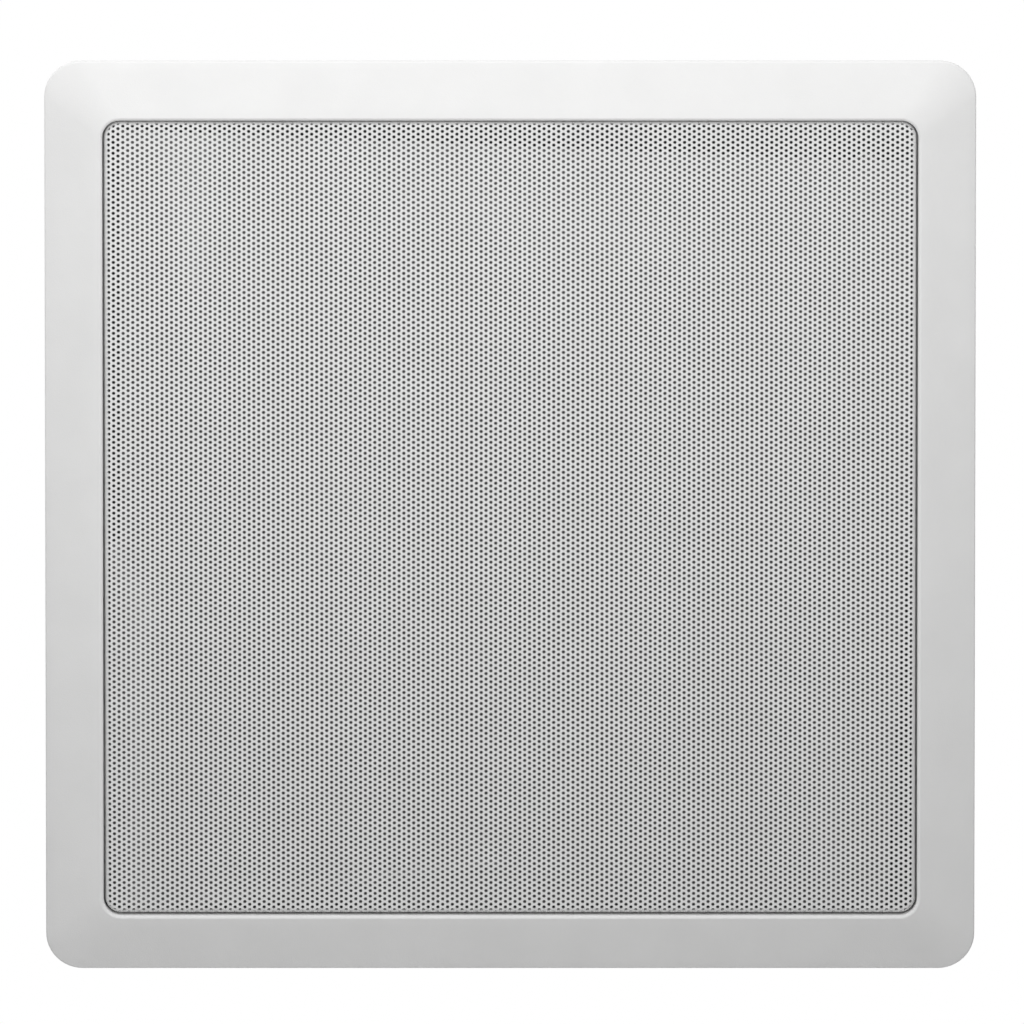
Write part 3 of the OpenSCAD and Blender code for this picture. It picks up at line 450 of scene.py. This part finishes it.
def smooth_edges(name):
    """A modifier group that joins a solid's faces and shades them smoothly up to SMOOTH_ANGLE."""
    group = bpy.data.node_groups.new(name, "GeometryNodeTree")
    group.interface.new_socket("Geometry", in_out="INPUT", socket_type="NodeSocketGeometry")
    group.interface.new_socket("Geometry", in_out="OUTPUT", socket_type="NodeSocketGeometry")
    start = group.nodes.new("NodeGroupInput")
    end = group.nodes.new("NodeGroupOutput")
    merge = group.nodes.new("GeometryNodeMergeByDistance")
    merge.inputs["Distance"].default_value = JOINED_WITHIN
    smooth = group.nodes.new("GeometryNodeSetShadeSmooth")
    edge_angle = group.nodes.new("GeometryNodeInputMeshEdgeAngle")
    sharp = group.nodes.new("ShaderNodeMath")
    sharp.operation = "GREATER_THAN"
    sharp.inputs[1].default_value = math.radians(SMOOTH_ANGLE)
    normals = group.nodes.new("GeometryNodeSetMeshNormal")
    normals.inputs["Remove Custom"].default_value = True
    for source, target in (
        (start.outputs["Geometry"], merge.inputs["Geometry"]),
        (merge.outputs["Geometry"], smooth.inputs["Geometry"]),
        (smooth.outputs["Geometry"], normals.inputs["Mesh"]),
        (edge_angle.outputs["Unsigned Angle"], sharp.inputs[0]),
        (sharp.outputs["Value"], normals.inputs["Edge Sharpness"]),
        (normals.outputs["Mesh"], end.inputs["Geometry"]),
    ):
        group.links.new(source, target)
    return group


SOFT_EDGES = smooth_edges("soft_edges")
for part in frame["record"]["subparts"]:
    node = frame["nodes"][part["node"]]
    for slot in node.material_slots:
        slot.material = FINISHES[part["material_slot"]].material

for name in SMOOTH_NODES:
    modifier = frame["nodes"][name].modifiers.new("soft_edges", "NODES")
    modifier.node_group = SOFT_EDGES

# Wide flat faces keep their own direction right up to their rounded edges
flat_faces = frame["nodes"]["frame"].modifiers.new("flat_faces", "WEIGHTED_NORMAL")
flat_faces.keep_sharp = True
flat_faces.weight = 100

# The well behind the grille is painted matt black, so that nothing shows through the holes
blackened_well(FINISHES["frame_plastic"], (PAINTED_WELL, PAINTED_LEDGE))


# Meshes from arrays

def make_mesh(name, points, triangles, normals, finish_slot):
    """A piece on the chassis from its triangles. Points that no triangle uses are left out."""
    used, where = np.unique(triangles, return_inverse=True)
    points = points[used]
    triangles = where.reshape(-1, 3)
    mesh = bpy.data.meshes.new(name)
    mesh.vertices.add(len(points))
    mesh.vertices.foreach_set("co", points.astype(np.float32).ravel())
    mesh.loops.add(triangles.size)
    mesh.loops.foreach_set("vertex_index", triangles.astype(np.int32).ravel())
    mesh.polygons.add(len(triangles))
    mesh.polygons.foreach_set("loop_start", np.arange(0, triangles.size, 3, dtype=np.int32))
    mesh.polygons.foreach_set("use_smooth", np.ones(len(triangles), dtype=bool))
    mesh.update(calc_edges=True)
    if normals is not None:
        mesh.normals_split_custom_set_from_vertices(normals[used].tolist())
    mesh.materials.append(FINISHES[finish_slot].material)
    piece = bpy.data.objects.new(name, mesh)
    bpy.context.scene.collection.objects.link(piece)
    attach(piece, "chassis")
    return piece


# Perforated grille

def edge_reach(flat):
    """How far each point of the flat sheet lies past the start of the fold, and the way there."""
    corner = CORNER - FOLD
    side = np.abs(flat) - (GRILLE_HALF - FOLD - corner)
    past = np.maximum(side, 0)
    round_part = np.hypot(past[:, 0], past[:, 1])
    in_corner = (side > 0).all(1)
    reach = np.where(in_corner, round_part, side.max(1)) - corner
    straight = (side == side.max(1)[:, None]).astype(float)
    bend = past / np.maximum(round_part, 1e-9)[:, None]
    way = np.where(in_corner[:, None], bend, straight) * np.sign(flat)
    return reach, way


def folded(flat, inset):
    """Places and outward normals of points of the flat sheet once its edge is folded back."""
    reach, way = edge_reach(flat)
    past = np.clip(reach, 0, FOLD_END)
    turn = past / FOLD
    base = flat - way * np.maximum(reach, 0)[:, None]
    spread = (FOLD - inset) * np.sin(turn)
    over = base + way * spread[:, None]
    deep = FACE_Y + inset + (FOLD - inset) * (1 - np.cos(turn))
    places = np.stack([over[:, 0], deep, over[:, 1]], 1)
    lean = way * np.sin(turn)[:, None]
    normals = np.stack([lean[:, 0], -np.cos(turn), lean[:, 1]], 1)
    return places, normals


def perforated_grille():
    """The sheet as a net of hexagonal cells, each with its hole, split into four quarters."""
    columns = math.ceil(GRILLE_HALF / COLUMN) + 2
    rows = math.ceil(GRILLE_HALF / PITCH) + 2
    column, row = np.meshgrid(
        np.arange(-columns, columns + 1), np.arange(-rows, rows + 1), indexing="ij"
    )
    centres = np.stack([column * COLUMN, (row + 0.5 * (column % 2)) * PITCH], -1)
    ids = np.arange(column.size).reshape(column.shape)
    inner = (slice(0, -1), slice(1, -1))
    here = ids[inner]
    odd = column[inner] % 2 == 1
    above = ids[0:-1, 2:]
    right_up = np.where(odd, ids[1:, 2:], ids[1:, 1:-1])
    right_down = np.where(odd, ids[1:, 1:-1], ids[1:, 0:-2])
    here, above, right_up, right_down = (cells.ravel() for cells in (here, above, right_up, right_down))

    # A hexagon with the area of the round hole, its corners towards the cell's corners
    radius = HOLE * math.sqrt(math.pi / (6 * math.sqrt(3)))
    angles = np.radians(np.arange(0, 360, 60))
    corners = np.stack([np.cos(angles), np.sin(angles)], 1) * radius
    flat = (centres.reshape(-1, 1, 2) + corners).reshape(-1, 2)
    reach = edge_reach(flat)[0]
    centre_reach = edge_reach(centres.reshape(-1, 2))[0]

    # The web between the holes: three strips and two triangles a cell
    web = (
        ((here, 1), (above, 5), (above, 4)), ((here, 1), (above, 4), (here, 2)),
        ((here, 0), (right_up, 4), (right_up, 3)), ((here, 0), (right_up, 3), (here, 1)),
        ((here, 5), (right_down, 3), (right_down, 2)), ((here, 5), (right_down, 2), (here, 0)),
        ((here, 0), (right_down, 2), (right_up, 4)), ((here, 1), (right_up, 3), (above, 5)),
    )

    # Past the last hole a cell is filled with four triangles
    plain = ((0, 1, 2), (0, 2, 3), (0, 3, 4), (0, 4, 5))
    solid = here[centre_reach[here] > LAST_HOLE]
    open_cells = here[centre_reach[here] <= LAST_HOLE]
    face = [np.stack([cell * 6 + corner for cell, corner in three], 1) for three in web]
    face += [np.stack([solid * 6 + corner for corner in three], 1) for three in plain]
    face = np.concatenate(face)
    face = face[(reach[face] < FOLD_END).any(1)]

    front, front_normals = folded(flat, 0)
    back, back_normals = folded(flat, SHEET)
    mid = np.repeat(centres.reshape(-1, 2), 6, 0)
    axis_front = folded(mid, 0)[0]
    axis_back = folded(mid, SHEET)[0]
    wall_front = (axis_front - front) / radius
    wall_back = (axis_back - back) / radius
    count = len(flat)
    points = np.concatenate([front, back, front, back])
    normals = np.concatenate([front_normals, -back_normals, wall_front, wall_back])

    walls = []
    for corner in range(6):
        one = open_cells * 6 + corner + 2 * count
        other = open_cells * 6 + (corner + 1) % 6 + 2 * count
        walls.append(np.stack([one, other, other + count], 1))
        walls.append(np.stack([one, other + count, one + count], 1))
    triangles = np.concatenate([face, face[:, ::-1] + count, *walls])

    owner = (triangles[:, 0] % count) // 6
    middle = centres.reshape(-1, 2)[owner]
    for name, across, up in (
        ("top_right", 1, 1), ("top_left", -1, 1), ("bottom_right", 1, -1), ("bottom_left", -1, -1)
    ):
        mine = (middle[:, 0] >= 0) == (across > 0)
        mine &= (middle[:, 1] >= 0) == (up > 0)
        piece = make_mesh(f"grille_mesh_{name}", points, triangles[mine], normals, "grille_paint")
        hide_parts("grille")


def rounded_square(half, corner):
    """Points of a rounded square's outline, once round."""
    points = []
    for quarter in range(4):
        middle = math.radians(45 + 90 * quarter)
        for step in range(CORNER_STEPS + 1):
            angle = math.radians(90 * (quarter + step / CORNER_STEPS))
            across = (half - corner) * math.copysign(1, math.cos(middle)) + corner * math.cos(angle)
            up = (half - corner) * math.copysign(1, math.sin(middle)) + corner * math.sin(angle)
            points.append((across, up))
    return np.array(points)


def grille_skirt():
    """The folded edge's straight part, which stands on the frame's ledge."""
    rows = []
    top = FACE_Y + FOLD
    low = FOOT_Y - SKIRT_NIP
    outline = (
        (0, top), (0, low), (SKIRT_NIP, FOOT_Y), (SHEET - SKIRT_NIP, FOOT_Y), (SHEET, low), (SHEET, top)
    )
    for inset, deep in outline:
        loop = rounded_square(GRILLE_HALF - inset, CORNER - inset)
        rows.append(np.stack([loop[:, 0], np.full(len(loop), deep), loop[:, 1]], 1))
    per_row = len(rows[0])
    triangles = []
    for row in range(len(rows) - 1):
        for place in range(per_row):
            here = row * per_row + place
            beside = row * per_row + (place + 1) % per_row
            triangles.append((here, here + per_row, beside))
            triangles.append((beside, here + per_row, beside + per_row))
    points = np.concatenate(rows)
    piece = make_mesh("grille_skirt", points, np.array(triangles), None, "grille_paint")
    edges = piece.modifiers.new("soft_edges", "NODES")
    edges.node_group = SOFT_EDGES
    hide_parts("grille")


# Cloth behind the grille

def fold_height(points, start, end, start_width, end_width):
    """How much of a fold each point has: 1 along its crest, falling to 0 beside it."""
    start, end = np.array(start), np.array(end)
    along = end - start
    share = np.clip((points - start) @ along / (along @ along), 0, 1)
    distance = np.linalg.norm(points - start - share[:, None] * along, axis=1)
    width = start_width + share * (end_width - start_width)
    return np.exp(-((distance / width) ** 2))


def ripples(points):
    """Slow unevenness of a cloth that was glued by hand, to about 1 either way, with waves in mm."""
    x, z = points[:, 0] / MM, points[:, 1] / MM
    waves = np.sin(x / 17 + 1.3 * np.sin(z / 41)) * np.sin(z / 23 + 0.8)
    waves += 0.6 * np.sin((x + z) / 9.5 + 1.7 * np.sin(x / 33))
    waves += 0.4 * np.sin((x - 1.7 * z) / 6.1)
    return waves / 2


def grille_cloth():
    """One thin sheet close behind the holes, cut askew and wrinkled."""
    steps = np.linspace(0, 1, CLOTH_STEPS + 1)
    share_across, share_up = (grid.ravel() for grid in np.meshgrid(steps, steps, indexing="ij"))
    low_right = CLOTH_RIGHT - CLOTH_RIGHT_SLOPE * CLOTH_HALF
    up = -CLOTH_HALF + share_up * (CLOTH_TOP + CLOTH_HALF)
    right = np.minimum(CLOTH_HALF, low_right + CLOTH_RIGHT_SLOPE * (up + CLOTH_HALF))
    left = -CLOTH_HALF + np.where(up > CLOTH_LEFT_END, CLOTH_LEFT_SHORT, 0)
    across = left + share_across * (right - left)
    flat = np.stack([across, up + share_up * CLOTH_TOP_SLOPE * across], 1)

    # Cut to the rounded corners of the grille's inside
    corner = CORNER - FOLD
    side = np.abs(flat) - (CLOTH_HALF - corner)
    past = np.maximum(side, 0)
    length = np.hypot(past[:, 0], past[:, 1])
    pull = np.minimum(1, corner / np.maximum(length, 1e-9))
    rounded = np.sign(flat) * (CLOTH_HALF - corner + past * pull[:, None])
    flat = np.where((side > 0).all(1)[:, None], rounded, flat)

    low = np.clip(0.5 - flat[:, 1] / (2 * CLOTH_HALF), 0, 1)
    gap = CLOTH_GAP_TOP + (CLOTH_GAP_LOW - CLOTH_GAP_TOP) * low ** CLOTH_GAP_CURVE
    gap *= 1 + CLOTH_UNEVEN_SHARE * ripples(flat)
    for *fold, share in FOLDS:
        gap *= 1 - share * fold_height(flat, *fold)
    gap = np.maximum(gap, CLOTH_TOUCH)
    places = np.stack([flat[:, 0], FACE_Y + SHEET + gap, flat[:, 1]], 1)
    points = np.arange(len(places)).reshape(CLOTH_STEPS + 1, CLOTH_STEPS + 1)
    here = points[:-1, :-1].ravel()
    beside = points[1:, :-1].ravel()
    triangles = np.concatenate([
        np.stack([here, beside, beside + 1], 1),
        np.stack([here, beside + 1, here + 1], 1),
    ])
    piece = make_mesh("grille_cloth", places, triangles, None, "scrim_cloth")
    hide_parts("grille_scrim")


perforated_grille()
grille_skirt()
grille_cloth()


# Floor, world, lamps and camera

def soft_floor():
    """A pale round floor that fades into the background at its rim."""
    bpy.ops.mesh.primitive_circle_add(
        vertices=FLOOR_SIDES, radius=FLOOR_RADIUS, fill_type="NGON", location=(0, 0, FLOOR_HEIGHT)
    )
    floor = bpy.context.object
    floor.name = "studio_floor"
    finish = Finish("studio_floor", FLOOR_COLOR, 0.9)
    finish.bump(finish.noise(12 * MM, 3), 0.2 * MM)
    distance = finish.node("ShaderNodeVectorMath", operation="LENGTH")
    finish.link(finish.place, distance.inputs[0])
    fade = finish.node("ShaderNodeMapRange", interpolation_type="SMOOTHSTEP")
    fade.inputs["From Min"].default_value = FADE_START
    fade.inputs["From Max"].default_value = FADE_END
    fade.inputs["To Min"].default_value = 1.0
    fade.inputs["To Max"].default_value = 0.0
    finish.link(distance.outputs["Value"], fade.inputs["Value"])
    # From below the floor is clear, so that it never hides the part
    from_above = finish.math("SUBTRACT", 1, finish.node("ShaderNodeNewGeometry").outputs["Backfacing"])
    finish.link(finish.math("MULTIPLY", fade.outputs["Result"], from_above), finish.shader.inputs["Alpha"])
    floor.data.materials.append(finish.material)


def white_world(ambient):
    """Even light of one strength, which the camera and reflections see as white."""
    world = bpy.data.worlds.new("studio")
    world.use_nodes = True
    tree = world.node_tree
    sky = tree.nodes["Background"]
    sky.inputs["Color"].default_value = (1, 1, 1, 1)
    rays = tree.nodes.new("ShaderNodeLightPath")
    seen = rays.outputs["Is Camera Ray"]
    for kind in ("Is Glossy Ray", "Is Transmission Ray"):
        both = tree.nodes.new("ShaderNodeMath")
        both.operation = "MAXIMUM"
        tree.links.new(seen, both.inputs[0])
        tree.links.new(rays.outputs[kind], both.inputs[1])
        seen = both.outputs["Value"]
    level = tree.nodes.new("ShaderNodeMapRange")
    level.inputs["To Min"].default_value = ambient
    level.inputs["To Max"].default_value = 1.0
    tree.links.new(seen, level.inputs["Value"])
    tree.links.new(level.outputs["Result"], sky.inputs["Strength"])
    bpy.context.scene.world = world


def soft_lamp(name, place, aim, size, power):
    """A square area lamp that the camera doesn't see."""
    data = bpy.data.lights.new(name, "AREA")
    data.shape = "SQUARE"
    data.size = size
    data.energy = power
    lamp = bpy.data.objects.new(name, data)
    lamp.location = place
    lamp.rotation_mode = "QUATERNION"
    lamp.rotation_quaternion = (Vector(aim) - Vector(place)).to_track_quat("-Z", "Y")
    lamp.visible_camera = False
    bpy.context.scene.collection.objects.link(lamp)


soft_floor()
white_world(AMBIENT)
for name, (place, aim, size, power) in LAMPS.items():
    soft_lamp(name, place, aim, size, power)

back_way = Vector((0, -math.cos(CAMERA_ELEVATION), math.sin(CAMERA_ELEVATION)))
camera_data = bpy.data.cameras.new("camera")
camera_data.lens = LENS
camera_data.sensor_width = SENSOR
camera_data.clip_start = NEAREST
camera_data.clip_end = FARTHEST
camera = bpy.data.objects.new("camera", camera_data)
bpy.context.scene.collection.objects.link(camera)
camera.rotation_mode = "QUATERNION"
camera.rotation_quaternion = (-back_way).to_track_quat("-Z", "Y")
image_right = camera.rotation_quaternion @ Vector((1, 0, 0))
image_up = camera.rotation_quaternion @ Vector((0, 1, 0))
camera.location = back_way * CAMERA_DISTANCE + image_right * AIM_RIGHT + image_up * AIM_UP
bpy.context.scene.camera = camera

bpy.context.scene.view_settings.view_transform = "Standard"
